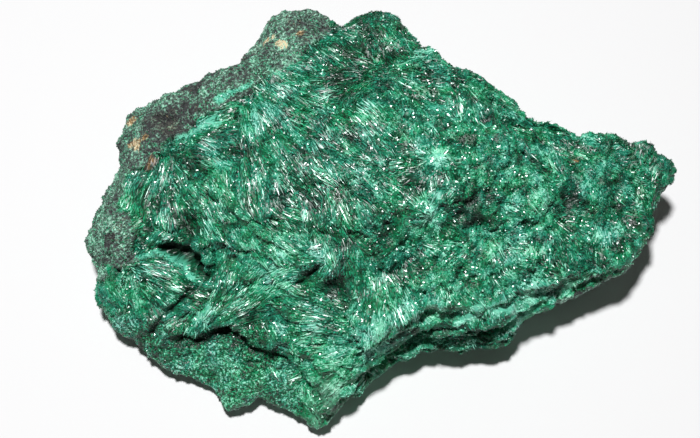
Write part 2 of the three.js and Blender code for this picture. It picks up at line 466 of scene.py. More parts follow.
shaded_pit, shine = np.zeros((2, len(points)))
for x, y, radius, depth in SHADED_HOLLOWS:
    shaded_pit = np.maximum(shaded_pit, depth * patch(ragged, x, y, radius))
for spot in SHINES:
    shine = np.maximum(shine, patch(ragged, *spot))
for line in STREAKS:
    shine = np.maximum(shine, fade(stroke(points + 0.25 * splinter[:, :1], line)))
print("hollows cover", (shaded_pit > 0.3).mean().round(3), "of the surface")

# %% [markdown]
# Cracks part the lobe, the crown and the shelf. Rims are where the outline bulges or is notched. Both
# are strokes as well. A crack also has a brink, where the needles will be kept short, so that they
# don't grow over it.

# %% Cracks and rims
SHADED_CRACKS = [
    # a line of (x, y, half width), then its depth (mm), which also paints the crack darker as painted
    # shade
    ([(-40.5, -10.4, 0.5), (-38.5, -10.6, 0.9), (-36, -11.8, 1.1), (-33, -14.2, 0.8)], 3.8),
    ([(-33, -14.2, 0.6), (-32.2, -16, 0.5), (-33.5, -18, 0.5), (-35.5, -19, 0.3)], 1.6),
    ([(-31, -16, 0.7), (-33.5, -18.5, 0.6), (-36.5, -20.5, 0.5), (-39.5, -21.5, 0.6),
      (-42, -24, 0.4)], 1.6),
    ([(-36.5, -26, 0.8), (-34.5, -26.8, 1), (-31, -25.4, 0.8), (-28, -26, 0.6), (-25, -27.6, 0.5)], 2.8),
    ([(-25, -27.6, 0.5), (-21.5, -28.6, 0.4), (-17, -30.2, 0.3)], 1.6),
    ([(-15.3, -20, 0.4), (-14, -19.9, 0.6), (-12.5, -19.2, 0.7), (-11, -18.2, 0.5)], 1.8),
    ([(-31.6, -12.4, 0.5), (-28.3, -13.1, 0.5), (-24, -14.7, 0.3)], 1.0),
    ([(37, 10, 0.9), (36.2, 5.5, 0.9), (36.8, 0, 0.9), (35, -6, 0.6)], 0.7),
    ([(18.5, 10.3, 0.4), (23.5, 11.6, 0.5), (28.6, 12.2, 0.5), (34.1, 7.6, 0.5), (37.6, 4.3, 0.4)], 0.9),
    ([(15, 13.5, 0.3), (22, 14.8, 0.4), (28, 14.2, 0.5), (33, 11, 0.4), (36, 8, 0.3)], 0.7),
    ([(-3, -32, 0.3), (-0.3, -30.2, 0.4), (1.9, -28.8, 0.4), (5, -26.5, 0.4)], 0.5),
    ([(5, -26.5, 0.4), (9, -24.9, 0.25), (12, -24.3, 0.25), (14.6, -23.5, 0.25)], 0.6),
]
RIMS = [
    # the same, with how far the stone stands out there (mm)
    ([(7, 27.5, 2.5), (12, 25, 2.5), (18, 21, 2.5), (24, 18.5, 2.5), (29, 14.5, 2)], -0.9),
    ([(1, 36, 1.5), (4.3, 34.9, 2), (6.8, 32.9, 2)], -0.6),
    ([(-7, 33.6, 1.2), (-5.5, 34, 1.5), (-3.9, 34.6, 1.2)], -2.2),
    ([(-34, 23, 1.5), (-32, 22.5, 1.5)], -0.7),
    ([(-50, 20.3, 1.2), (-49, 20.8, 1.2)], -0.6),
    ([(-53, -14, 2.5), (-51, -18.4, 2.5), (-44.7, -24.7, 2.5), (-38, -29.5, 2.5)], 0.6),
    ([(-17, -36.5, 1.2), (-20.5, -36, 1.2)], 0.9),
    ([(-54.5, -8, 3), (-55, -4, 3), (-53, 3, 3)], 0.5),
    ([(55, 7, 1.2), (56.5, 5.5, 1.2)], 0.9),
    ([(-44.2, -23.4, 0.6), (-42, -22.7, 0.9), (-39.8, -22, 0.5)], 0.8),
    ([(50.5, 9.5, 1), (51.5, 9.2, 1)], 0.8),
    ([(39, 12, 1), (40.5, 12, 1)], 0.7),
    ([(43, 12, 1.5), (48, 10.5, 1.5)], -0.4),
    ([(27, -22.5, 2), (33, -19.5, 2), (40, -15, 2)], -0.7),
    ([(-1, -33, 2), (3, -31, 2.5), (7, -29.5, 2.5), (16, -29, 2), (22, -27, 2)], -1.2),
]

shaded_crack, brink = np.zeros((2, len(points)))
for line, depth in SHADED_CRACKS:
    gap = stroke(ragged * 0.4 + points * 0.6, line)
    shaded_crack = np.maximum(shaded_crack, depth * fade(gap))
    brink = np.maximum(brink, fade(gap / 2.5) * min(depth / 2, 1))
carve += (0.4 * shine - 1.5 * shaded_pit - shaded_crack) * ease(up, 0, 0.4)

for line, height in RIMS:
    carve += height * fade(stroke(points, line)) * ease(points[:, 2], 1, 4)
print("deepest crack", shaded_crack.max().round(1), "mm")

# %% [markdown]
# The front edge steps in and out with its layers, and dark niches lie under its lip. The steps are
# noise that changes quickly with height and slowly along the edge. That is the last term, so now
# the points move. The resting patch holds still and stays flat.

# %% Layers, niches and the carving itself
NICHES = [
    # x, z, half length, half height and depth (mm) of the hollows in the front edge
    (21.5, 10.3, 4.5, 1.7, 2.4), (10.5, 10.6, 6, 1.0, 1.8), (1, 9, 3, 1.2, 1.2),
]
LAYER_THICKNESS = 1.4


def niche_depth(points):
    total = np.zeros(len(points))
    for x, z, long, high, depth in NICHES:
        along, above = (points[:, 0] - x) / long, (points[:, 2] - z) / high
        total += depth * np.exp(-(along**4) - above**2)
    return total


carve -= niche_depth(points) * zones["layered"]

layer_at = (points[:, 2] + 0.06 * points[:, 0] + 0.7 * noise(points / 9, 41)) / LAYER_THICKNESS
sheet = np.stack([points[:, 0] / 14, points[:, 1] / 14, layer_at], 1)
edge = 0.8 * noise(sheet, 42) + 0.15
outward = unit(normals * (1, 1, 0) + 1e-9)

hold = ease(points[:, 2], 0.1, 3)[:, None]
carved = points + hold * carve[:, None] * normals
carved += hold * (zones["layered"] * edge)[:, None] * outward
carved[:, 2] = carved[:, 2].clip(0)
move_points(mass, carved)
print("carved between", carve.min().round(1), "and", carve.max().round(1), "mm")

# %% [markdown]
# ## Values that the finishes and the needles read
# A colour that follows the needles has to turn with each spray. So every point of the mass carries
# its values as named attributes, which shaders and geometry nodes read. The first are marks: pale
# edges of mint green, and black spots of oxide.

# %% Marks on the surface
PALE_LINES = [
    [(-38.3, 9.7, 0.3), (-36.9, 10.3, 0.4), (-33.9, 10.4, 0.5), (-32.4, 11.1, 0.6), (-31, 11.4, 1.3),
     (-30.2, 11.2, 1.2)],
    [(-30, 15.2, 0.8), (-28.9, 15.9, 0.8), (-27.8, 16.4, 0.6), (-25.4, 17.6, 0.45), (-23.9, 18.3, 0.3)],
    [(15, -24.4, 0.4), (17.5, -23.6, 0.5), (20, -22.9, 0.6), (24, -22.7, 0.6), (27, -22, 0.4)],
    [(-33.3, -23, 0.7), (-31.5, -21.5, 0.7)],
    [(-44.5, -11.6, 0.5), (-41.5, -11.2, 0.6), (-38.5, -12.3, 0.7), (-36, -13.7, 0.7),
     (-34.4, -16, 0.6)],
    [(10, -1.5, 0.5), (10.4, -1, 0.5)],
    [(8.7, -10.4, 0.6), (9, -9.8, 0.6)],
]
BLACK_SPOTS = [
    (-42, 12.5, 3.4), (-41, 10.3, 2.5), (-38.4, 13.4, 3), (-35.4, 14.2, 2.4), (-38, 11, 1.8),
    (-35, 21, 2.4), (-50, -8.5, 1.3),
]


def spots(points, places, seed):
    """Ragged spots: 1 inside, 0 outside."""
    found = np.zeros(len(points))
    frayed = 0.65 * noise(points / 1.1, seed) + 0.45 * noise(points / 0.5, seed + 1)
    for x, y, radius in places:
        found = np.maximum(found, ease(spot_distance(points, x, y) / radius + frayed, 1.1, 0.7))
    return found * ease(normals[:, 2], 0, 0.4)


smooth_normals = normals
points, normals = points_of(mass), normals_of(mass)
pale = np.zeros(len(points))
for line in PALE_LINES:
    gap = stroke(points, line) + 0.6 * noise(points / 0.8, 51)
    pale = np.maximum(pale, ease(gap, 1.4, 0.5))
pale *= ease(normals[:, 2], -0.1, 0.1)
black = spots(points, BLACK_SPOTS, 61)
print("marked:", (pale > 0.5).sum(), "pale points and", (black > 0.5).sum(), "black ones")

# %% [markdown]
# The tone says how light the stone is, from 0 to 1. It differs from bundle to bundle and from needle
# to needle and follows the broad light and dark areas of the stone. It is lowered in hollows and
# cracks, which is painted shade, and raised a little on the bright patches, which is painted highlight.
# To the right the needles point every way and show as grains, so the tone is granular there.

# %% Tone
EARTH_SPOTS = [
    # x, y, radius and how much lighter
    (-47.2, 12.3, 1.2, 0.2), (-45.5, 10.8, 1.4, 0.25), (-43.9, 10.6, 0.9, 0.2), (-42.5, 6, 0.8, -0.1),
    (-43.3, 4.6, 0.7, -0.1), (-48, 18.7, 1.1, 0.15), (-46.5, 20, 0.8, 0.1), (-21, 31, 1.1, 0.5),
    (-19.3, 28.9, 1.5, 0.5), (-17.8, 28, 0.9, 0.5), (-14.7, 31.3, 0.7, 0), (37.1, 6, 0.5, -0.2),
    (5.9, -27.8, 0.5, 0),
]
TONE_AREAS = [
    # x, y, radius and how much lighter: the spur, its fan and the fan's root, the brow, the crown
    (-9, -35, 5, 0.22), (-4, -27, 6, 0.1), (0, -28, 3, 0.35), (12, -21, 8, 0.1), (28, -18, 8, 0.1),
    (25, 0, 16, 0.05),
    # the tip, painted shade in the notch at the back, the pale end of the rind
    (50, 2, 10, -0.1), (-3, 27, 12, -0.2), (-49, -8, 5, 0.2),
    # two white stars where sprays point straight out
    (8.8, -10, 2, 0.4), (10.2, -1.3, 1.8, 0.35),
    # light bundles, then painted shade in the clefts around the lobe, and dark clearings on the crown
    (-28, 2, 3, 0.2), (-20, -17, 5, 0.3), (28, -20, 3, 0.3), (30, -7, 3, 0.35), (9, -23, 3, 0.3),
    (23, 16, 3, 0.2), (-39, -13, 2, -0.15), (-38, -24, 3, -0.15), (-37, -4, 3, -0.2),
    (-6, 2, 3, -0.3), (-11, -9, 4, -0.3), (-13, -2, 3, -0.2), (30, -15, 3, -0.3),
]

granular = np.maximum(ease(points[:, 0] + 4 * noise(points / 7, 57), -3, 9), 0.12)
granular = np.maximum(granular, 0.7 * ease(noise(points / 5, 58), 0.1, 0.5))
tone = 0.07 + 0.15 * noise(points / 3.4, 53) + 0.11 * noise(points / 1.5, 56)
# painted shade: the tone is lowered in the carved hollows
tone += 0.13 * splinter[:, 1] + 0.12 * sliver[:, 1] + 0.1 * fibre[:, 1] - 0.14 * shaded_hollow
tone += chance.uniform(-0.04, 0.04, len(middles))[spray]
# painted highlight on the bright patches, painted shade in the listed hollows and in cracks; pale adds
# the mint colour
tone += 0.12 * shine - 0.4 * shaded_pit - 0.5 * (shaded_crack / 2).clip(0, 1) + 0.45 * pale
tone += 0.26 * granular * noise(points / 1.4, 92)
tone -= 0.5 * black
for *area, lighter in TONE_AREAS:
    tone += lighter * patch(points, *area)
earth = np.zeros(len(points))
for *spot, lighter in EARTH_SPOTS:
    rusty = spots(points, [spot], 63)
    tone += lighter * rusty
    earth = np.maximum(earth, rusty)
print("tone from", tone.min().round(2), "to", tone.max().round(2))

# %% [markdown]
# A needle lies along its spray, pressed down to its bed, the surface below it. Where the spray
# points out of the stone, the needles stand up and are short, like velvet. Where the stone flashes,
# the bed is turned towards the open side, halfway between the lamp and the eye.

# %% Directions of the needles
LOBE, SPUR, NOTCH = (-39, -15), (-9.5, -37), (-6, 34.5)
OPEN_SIDE = np.array([-0.04, -0.2, 0.98])

bed = unit(smooth_normals + 0.7 * normals + 0.3 * splinter + 0.22 * sliver)
sheen = ease(fibre[:, 0] + 0.6 * noise(points / 3, 55), 0.6, 0.95)
sheen *= 1 - 0.5 * ease(spot_distance(points, -31, 3), 22, 12)
sheen = np.maximum(sheen, shine) * (1 - 0.75 * ease(points[:, 0], 38, 46))
bed = unit(bed * (1 - 0.75 * sheen[:, None]) + 0.75 * sheen[:, None] * OPEN_SIDE)
along_way = (way * bed).sum(1)
lying = unit(way - bed * along_way[:, None])
veer = 0.22 * splinter[:, 2] + 0.16 * sliver[:, 2]
veer = (veer * ease(spot_distance(points, *LOBE), 5, 11))[:, None]
lying = np.cos(veer) * lying + np.sin(veer) * np.cross(bed, lying)
end_on = ease(along_way, 0.5, 0.9) * (1 - shine)
lift = end_on * along_way.clip(0, 0.95) - 0.08 * (1 - end_on)
needle_way = lying * np.sqrt(1 - lift**2)[:, None] + bed * lift[:, None]
reach = (1 - 0.5 * end_on) * (1 - 0.6 * ease(up, 0.85, 0.45)) * (1 - 0.55 * brink)
reach *= 1 - 0.6 * ease(spot_distance(points, *NOTCH), 6, 3)
print("seen end on:", (end_on > 0.5).mean().round(2), "of the surface")

# %% [markdown]
# The last values say how thickly each sort of needle grows, and which of the stone's colours a point
# has. That is its kind: 0 is teal, 0.16 emerald, 0.45 crust and 0.85 earth. Needles cover the fresh
# break. Few are left on the shelf, the layers and the mint edges, and none on the rind or in cracks.

# %% What grows where, and in which colour
SPARK_AREAS = [
    # x, y, radius and how many more bright crystals
    (10, -19, 8, 1.3), (28, -16, 7, 0.8), (-8, -4, 12, 1.2), (10, -4, 8, 0.5), (50, 2, 12, -1.2),
    (-30, -8, 12, -0.3), (-30, 12, 10, -0.3),
]


def store(item, name, values):
    kind, key = ("FLOAT_VECTOR", "vector") if values.ndim == 2 else ("FLOAT", "value")
    stored = item.data.attributes.new(name, kind, "POINT")
    stored.data.foreach_set(key, values.astype(np.float32).ravel())


bare = np.maximum(zones["rind"], shaded_crack > 1.2)
fresh_break = (1 - bare) * (1 - 0.85 * zones["shelf"]) * (1 - 0.8 * zones["layered"])
fresh_break *= (1 - 0.85 * pale) * (1 - 0.5 * ease(spot_distance(points, *SPUR), 6, 3))
clumps = ease(splinter[:, 1] + 0.7 * sliver[:, 1] + 0.6 * noise(points / 2.5, 94), -0.8, 0.3)
sparks = 0.06 + 0.84 * granular + 0.4 * zones["shelf"]
for *area, more in SPARK_AREAS:
    sparks += more * patch(points, *area)
split = np.maximum(fresh_break, 0.7 * zones["shelf"])
hue = 0.08 + 0.09 * noise(points / 2.2, 91) + 0.05 * splinter[:, 2] + 0.04 * noise(points / 6, 93)
kind = hue.clip(0, 0.16) * (1 - zones["rind"])
kind += 0.27 * patch(points, *SPUR, 5.5) * (1 - zones["rind"])
kind += zones["rind"] * (1 - pale) * (0.46 + 0.1 * black + 0.12 * noise(points / 3, 67))

stir = shift(points / 0.7, 71) * granular[:, None]
values_by_name = {
    "among_needles": place, "needle_way": needle_way, "bed": bed, "lying_way": unit(lying + 5 * stir),
    "open_side": np.tile(OPEN_SIDE, (len(points), 1)), "reach": reach, "tone": tone, "pale": pale,
    "fresh_break": fresh_break, "silk": fresh_break * (1 - 0.5 * granular) * (0.35 + 0.75 * clumps),
    "bright_silk": fresh_break * sheen * (1 - 0.6 * granular),
    "sparks": split * sparks.clip(0) * (1 - shaded_pit), "crust": zones["rind"] * ease(up, -0.3, 0.2),
    "grainy": np.maximum(zones["shelf"], 0.3 * zones["layered"]) * (1 - zones["rind"]),
    "kind": np.maximum(kind, 0.92 * earth),
}
for name, values in (zones | values_by_name).items():
    store(mass, name, values.astype(float))
print("attributes:", sorted(values_by_name))

# %% [markdown]
# ## The green
# Thick needles are nearly black-green, thin ones let light through and turn emerald or teal, and
# powdery malachite is pale blue-green. The rind adds grey-green crust and rusty earth. So there are
# four scales from dark to light. The tone is the place on a scale, and the kind picks the scale.

# %% The colour scales
# linear colours at even steps from dark to light
TEALS = [
    (0.001, 0.018, 0.010), (0.003, 0.072, 0.041), (0.008, 0.185, 0.112), (0.04, 0.39, 0.265),
    (0.33, 0.76, 0.64),
]
EMERALDS = [
    (0.001, 0.018, 0.006), (0.002, 0.078, 0.026), (0.001, 0.19, 0.066), (0.014, 0.40, 0.175),
    (0.28, 0.77, 0.53),
]
CRUSTS = [
    (0.022, 0.024, 0.026), (0.05, 0.066, 0.06), (0.09, 0.17, 0.13), (0.14, 0.33, 0.235),
    (0.34, 0.62, 0.48),
]
EARTHS = [(0.05, 0.04, 0.02), (0.34, 0.20, 0.07), (0.74, 0.64, 0.42)]
MINT = (0.12, 0.55, 0.38, 1)
print("stops on the scales:", [len(scale) for scale in (TEALS, EMERALDS, CRUSTS, EARTHS)])

# %% [markdown]
# The mass and the needles have to share exactly the same colours, so the scales are built once, as a
# node group. The helpers let one line add a node and join its inputs.


# %% The colours as a node group
def new_group(name, inputs, outputs, tree_kind="ShaderNodeTree"):
    group = bpy.data.node_groups.new(name, tree_kind)
    for side, sockets in (("INPUT", inputs), ("OUTPUT", outputs)):
        for socket, kind in sockets.items():
            group.interface.new_socket(name=socket, in_out=side, socket_type="NodeSocket" + kind)
    return group


def add(tree, kind, links=None, **settings):
    """Adds a node. Settings are its properties; links are its inputs, by name or number."""
    node = tree.nodes.new(kind)
    for name, value in settings.items():
        setattr(node, name, value)
    for name, value in (links or {}).items():
        if isinstance(value, bpy.types.NodeSocket):
            tree.links.new(value, node.inputs[name])
        else:
            node.inputs[name].default_value = value
    return node


def mix(tree, share, first, second):
    node = add(tree, "ShaderNodeMix", {0: share, 6: first, 7: second}, data_type="RGBA")
    return node.outputs[2]


def colour_scale(tree, value, stops):
    node = add(tree, "ShaderNodeValToRGB", {0: value})
    elements = node.color_ramp.elements
    for number, colour in enumerate(stops):
        at = number / (len(stops) - 1)
        element = elements[number] if number < 2 else elements.new(at)
        element.position, element.color = at, (*colour, 1)
    return node.outputs["Color"]


def stretch(tree, value, low, high):
    """Maps low to 0 and high to 1."""
    links = {"Value": value, "From Min": low, "From Max": high}
    return add(tree, "ShaderNodeMapRange", links).outputs["Result"]


chart_colours = new_group(
    "malachite colours",
    {"Tone": "Float", "Kind": "Float"},
    {"Colour": "Color"},
)
given = chart_colours.nodes.new("NodeGroupInput").outputs
emerald = stretch(chart_colours, given["Kind"], 0, 0.16)
crusty = stretch(chart_colours, given["Kind"], 0.2, 0.45)
earthy = stretch(chart_colours, given["Kind"], 0.55, 0.85)
scales = [
    colour_scale(chart_colours, given["Tone"], stops) for stops in (TEALS, EMERALDS, CRUSTS, EARTHS)
]
colour = mix(chart_colours, emerald, scales[0], scales[1])
colour = mix(chart_colours, crusty, colour, scales[2])
colour = mix(chart_colours, earthy, colour, scales[3])
add(chart_colours, "NodeGroupOutput", {"Colour": colour})
print("colour group:", len(chart_colours.nodes), "nodes")

# %% [markdown]
# ## Finish of the mass
# The mass shows between the needles, and on the rind, the shelf and the layers. On the open break its
# colour runs in streaks, by noise read at the place among the needles. On the rind they give way to a
# matt, speckled crust.


# %% Material of the mass
def math_node(tree, operation, *values, clamp=False):
    node = add(tree, "ShaderNodeMath", dict(enumerate(values)), operation=operation, use_clamp=clamp)
    return node.outputs[0]


def attribute(tree, name, output="Fac"):
    return add(tree, "ShaderNodeAttribute", attribute_name=name).outputs[output]


def pattern(tree, vector, scale, detail=2.0):
    links = {"Vector": vector, "Scale": scale, "Detail": detail}
    return add(tree, "ShaderNodeTexNoise", links).outputs["Fac"]


def coat(item, material):
    """One material and smooth shading."""
    item.data.materials.clear()
    item.data.materials.append(material)
    select_only(item)
    bpy.ops.object.shade_smooth()


stone, nodes, shader = new_material("broken malachite")
here = add(nodes, "ShaderNodeTexCoord").outputs["Object"]
streaks = pattern(nodes, attribute(nodes, "among_needles", "Vector"), 3.2, 3.0)
speckle = stretch(nodes, pattern(nodes, here, 1900, 2.0), 0.35, 0.65)
rind, layered, shelf = (attribute(nodes, name) for name in ("rind", "layered", "shelf"))
streaky = math_node(nodes, "SUBTRACT", 1.0, math_node(nodes, "MAXIMUM", rind, shelf))
relief = mix(nodes, streaky, speckle, streaks)
strength = math_node(nodes, "MULTIPLY_ADD", layered, -0.45, 0.9)
tone_here = math_node(nodes, "MULTIPLY_ADD", relief, strength, attribute(nodes, "tone"))
links = {"Tone": tone_here, "Kind": attribute(nodes, "kind")}
fresh = add(nodes, "ShaderNodeGroup", links, node_tree=chart_colours)
colour = mix(nodes, attribute(nodes, "pale"), fresh.outputs["Colour"], MINT)
nodes.links.new(colour, shader.inputs["Base Color"])
dull = math_node(nodes, "MAXIMUM", rind, math_node(nodes, "MULTIPLY", layered, 0.7))
nodes.links.new(math_node(nodes, "MULTIPLY_ADD", dull, 0.4, 0.4), shader.inputs["Roughness"])
shader.inputs["IOR"].default_value = 1.65
bump = add(nodes, "ShaderNodeBump", {"Height": relief, "Distance": 0.25 * MM, "Strength": 0.9})
nodes.links.new(bump.outputs["Normal"], shader.inputs["Normal"])
coat(mass, stone)
print(stone.name, "has", len(nodes.nodes), "nodes")

# %% [markdown]
# ## The sheets of the front edge
# The front edge broke like slate: thin sheets end one over the other, with dark slits between. Each
# edge is drawn as a line that follows the wall at its own height, and stops where the wall ends or
# jumps. Two more are listed at the top, where a lip of mint green stands out.

# %% Lines of the sheets' edges
SHEET_STEP = 1.4
SHEET_DIP = 0.05
STATION = 0.45
LIPS = [
    # two sheets at the top of the wall that stand out, as lines of (x, y, z)
    [(12, -26, 14.4), (14.6, -25.4, 15.4), (16.5, -24.4, 16.1), (18.2, -23.8, 16.6), (20.1, -23.4, 16.5),
     (22.9, -23.1, 15.6), (25, -22.8, 14.6), (28.5, -21.9, 13.6)],
    [(8, -27, 12.2), (13.5, -26.5, 13.1), (15.6, -26.2, 13.8), (18, -25.8, 14.3), (20, -25.4, 14.4),
     (24, -24.6, 13.6)],
]
SHEET_LEVELS = 19
SHEET_JUMP = 2.2
SHEETS_OUT = [(-14, -0.6), (-4, 0), (3, -0.4), (10, 0.1), (20, 0), (28, -0.3), (36, -0.9)]

wall_tree = BVHTree.FromObject(mass, bpy.context.evaluated_depsgraph_get())
stations = np.arange(LAYERED_FROM - 4, LAYERED_TO, STATION)
runs = []
for level in range(1, SHEET_LEVELS + 1):
    row = np.stack([stations, np.full(len(stations), level * 9.7), np.zeros(len(stations))], 1)
    out = np.interp(stations, *zip(*SHEETS_OUT)) + 0.7 * noise(row / 9, 81)
    out += 0.5 * noise(row / 3, 82) + 0.35 * noise(row / 1.1, 83)
    heights = level * SHEET_STEP - SHEET_DIP * stations + 0.5 * noise(row / 12, 84)
    heights += 0.25 * noise(row / 3, 85)
    out += 1.3 * fade((heights - 8) / 2) * ease(stations, 24, 18)
    run = []
    for x, z, outward_by in zip(stations, heights, out):
        hit, facing = wall_tree.ray_cast(Vector((x, -60, z)) * MM, Vector((0, 1, 0)))[:2]
        on_wall = hit is not None and z > 0.8 and facing.z < 0.75
        on_wall = on_wall and hit.y / MM < np.interp(x, *zip(*LIP_LINE)) + 0.4 - ease(x, 24, 28)
        here = (x, hit.y / MM - outward_by, z) if on_wall else None
        if run and (here is None or abs(run[-1][1] - here[1]) > SHEET_JUMP):
            runs.append(run)
            run = []
        run += [here] if here else []
    runs.append(run)
for lip in LIPS:
    xs, ys, zs = zip(*lip)
    across = np.arange(xs[0], xs[-1], STATION)
    runs.append(list(zip(across, np.interp(across, xs, ys), np.interp(across, xs, zs))))
print(len(runs), "lines along the wall")

# %% [markdown]
# The lines are extruded into the stone, thickened by Solidify and remeshed, which rounds the edges.
# Short ones are left out, and the ends of the others are pulled in, so that no end stands out
# as a stump. Fine noise then roughens the sheets, as on the mass.

# %% Model the sheets
SHEET_THICK = 0.85
SHEET_DEPTH = 1.8
SHEET_GRID = 0.3 * MM
SHEET_SHORTEST = 10
SHEET_TAPER = 1.2

corners, lines = [], []
for run in runs:
    if len(run) >= SHEET_SHORTEST:
        lines += [(len(corners) + n, len(corners) + n + 1) for n in range(len(run) - 1)]
        ends = 1 - ease(np.minimum(np.arange(len(run)), np.arange(len(run))[::-1]), -1, 5)
        corners += [(x, y + SHEET_TAPER * end, z) for (x, y, z), end in zip(run, ends)]
outline = bpy.data.meshes.new("stone_sheets")
outline.from_pydata((np.array(corners) * MM).tolist(), lines, [])
sheets = add_object("stone_sheets", outline)
select_only(sheets)
bpy.ops.object.mode_set(mode="EDIT")
bpy.ops.mesh.select_mode(type="EDGE")
bpy.ops.mesh.select_all(action="SELECT")
bpy.ops.mesh.extrude_region_move(TRANSFORM_OT_translate={"value": (0, SHEET_DEPTH * MM, 0)})
bpy.ops.mesh.select_all(action="SELECT")
bpy.ops.mesh.delete_loose(use_verts=True, use_edges=True, use_faces=False)
bpy.ops.object.mode_set(mode="OBJECT")
apply_modifier(sheets, "SOLIDIFY", thickness=SHEET_THICK * MM, offset=0)
apply_modifier(sheets, "REMESH", mode="VOXEL", voxel_size=SHEET_GRID)
apply_modifier(sheets, "SMOOTH", factor=0.5, iterations=2)
sheet_points, sheet_normals = points_of(sheets), normals_of(sheets)
rough_edge = 0.4 * noise(sheet_points / 1.6, 86) + 0.25 * noise(sheet_points / 0.8, 87)
move_points(sheets, sheet_points + rough_edge[:, None] * sheet_normals)
print("stone_sheets:", len(sheets.data.polygons), "squares")

# %% [markdown]
# The sheets have the same finish as the mass, so they carry the same values. Their tone runs in thin
# bands like the layers and turns to mint along the lip. It is painted lighter towards the left end,
# where the lamp misses the steep wall, and darker in the niches: painted light and painted shade.

# %% Values of the sheets
MINT_LIP = [
    (14, -25.2, 0.7), (16.5, -24.1, 1.1), (18.2, -23.5, 1.2), (20.1, -23.1, 1.2), (22.9, -22.8, 1.1),
    (26.5, -22.2, 0.8),
]

sheet_tone = -0.05 + 0.22 * noise(sheet_points / (6, 6, 1.2), 88) + 0.15 * noise(sheet_points / 1.5, 89)
lip_light = np.exp(-(stroke(sheet_points, MINT_LIP) ** 4)) * ease(sheet_points[:, 2], 12, 14)
# painted light: lighter towards the left end, where the lamp misses the steep wall
sheet_tone += 0.28 + 0.2 * ease(sheet_points[:, 0], 10, 3)
sheet_tone = sheet_tone * (1 - lip_light) + 0.78 * lip_light
# painted shade: darker in the niches of the front edge
sheet_tone -= 0.12 * niche_depth(sheet_points)
store(sheets, "tone", sheet_tone)
for name in ("shelf", "layered", "reach"):
    store(sheets, name, np.ones(len(sheet_points)))
store(sheets, "kind", np.full(len(sheet_points), 0.08))
store(sheets, "grainy", 1 - 0.85 * lip_light)
store(sheets, "bed", sheet_normals)
store(sheets, "lying_way", unit(np.cross(sheet_normals, (0.3, 0.2, 1))))
coat(sheets, stone)
print("sheet tone from", sheet_tone.min().round(2), "to", sheet_tone.max().round(2))

# %% [markdown]
# ## One needle
# A malachite needle is a thin prism that narrows to a point. A cone with three sides is that shape;
# pulling the middle of its base down closes it to a spindle of six faces. It is one unit long and
# wide. Each point carries how far along the needle it lies, and on which of its edges.

# %% Model the needle
bpy.ops.object.select_all(action="DESELECT")
bpy.ops.mesh.primitive_cone_add(
    vertices=3, radius1=0.5, radius2=0, depth=0.55, end_fill_type="TRIFAN", location=(0, 0, 0.225)
)
needle = bpy.context.object
needle.name = "needle"
bpy.ops.object.transform_apply(location=True)
bpy.ops.object.mode_set(mode="EDIT")
bpy.ops.mesh.select_all(action="DESELECT")
bpy.ops.object.mode_set(mode="OBJECT")
for vertex in needle.data.vertices:
    vertex.select = vertex.co.z < 0.2 and vertex.co.xy.length < 0.1
bpy.ops.object.mode_set(mode="EDIT")
bpy.ops.transform.translate(value=(0, 0, -0.45))
bpy.ops.object.mode_set(mode="OBJECT")
shape = read(needle.data.vertices, "co", 3)
store(needle, "along", shape[:, 2] + 0.5)
off_axis = np.hypot(shape[:, 0], shape[:, 1]) > 0.1
store(needle, "side", np.where(off_axis, np.sign(shape[:, 0].round(2)), 0))
print("needle:", len(needle.data.vertices), "points,", len(needle.data.polygons), "faces")

# %% [markdown]
# ## Finish of the needles
# Some needles are deep green, some nearly white and some rusty. All of that fits on a small chart of
# the colour scales: the tone goes across and the kind goes up. Every needle lies on it by its UV map,
# so one chart colours them all and can be baked for other programs.

# %% Material of the needles
def chart_material(name, rough, smooth, dulling=0.0):
    material, nodes, shader = new_material(name)
    chart = add(nodes, "ShaderNodeUVMap", uv_map="OFBake").outputs["UV"]
    chart = add(nodes, "ShaderNodeSeparateXYZ", {0: chart}).outputs
    links = {"Tone": chart["X"], "Kind": chart["Y"]}
    fresh = add(nodes, "ShaderNodeGroup", links, node_tree=chart_colours)
    nodes.links.new(fresh.outputs["Colour"], shader.inputs["Base Color"])
    gloss = math_node(nodes, "MULTIPLY_ADD", chart["X"], smooth - rough, rough)
    gloss = math_node(nodes, "MULTIPLY_ADD", chart["Y"], dulling, gloss, clamp=True)
    nodes.links.new(gloss, shader.inputs["Roughness"])
    shader.inputs["IOR"].default_value = 1.8
    return material


silky = chart_material("silky needle", 0.42, 0.3)
glassy = chart_material("glassy grain", 0.3, 0.24)
crumbly = chart_material("crumbly grain", 0.4, 0.4, 0.8)
print("finishes:", silky.name, glassy.name, crumbly.name)

# %% [markdown]
# ## Scattering the needles
# Tens of thousands of needles can't be placed one by one. Geometry nodes strew points over the mass
# as thickly as its values say, put a needle on each and turn it to the direction stored there.
# Realized, they are plain mesh. First come helpers for such a tree.


# %% Helpers for fields
def random_value(tree, low, high, seed, kind="FLOAT"):
    node = add(tree, "FunctionNodeRandomValue", data_type=kind)
    active = [s for s in node.inputs if s.enabled]
    active[0].default_value, active[1].default_value = low, high
    node.inputs["Seed"].default_value = seed
    return next(s for s in node.outputs if s.enabled)


def random_mm(tree, span, seed):
    return random_value(tree, span[0] * MM, span[1] * MM, seed)


def field(tree, name, kind="FLOAT"):
    node = add(tree, "GeometryNodeInputNamedAttribute", {"Name": name}, data_type=kind)
    return next(s for s in node.outputs if s.enabled and s.name == "Attribute")


def vector_node(tree, operation, first, second):
    key = "Scale" if operation == "SCALE" else 1
    return add(tree, "ShaderNodeVectorMath", {0: first, key: second}, operation=operation).outputs[0]


def keep(tree, geometry, name, value, kind="FLOAT", domain="POINT"):
    links = {"Geometry": geometry, "Name": name, "Value": value}
    node = add(tree, "GeometryNodeStoreNamedAttribute", links, data_type=kind, domain=domain)
    return node.outputs[0]


# %% [markdown]
# One tree serves every scatter. It is told where the needles grow and how many, their size (length,
# width and thickness as a share of the width), how loose they lie (turned any way, pitched up and
# rolled), how high they sit, and their shade: how much lighter than the mass they are, from one
# value to another, and how rare the light ones are.

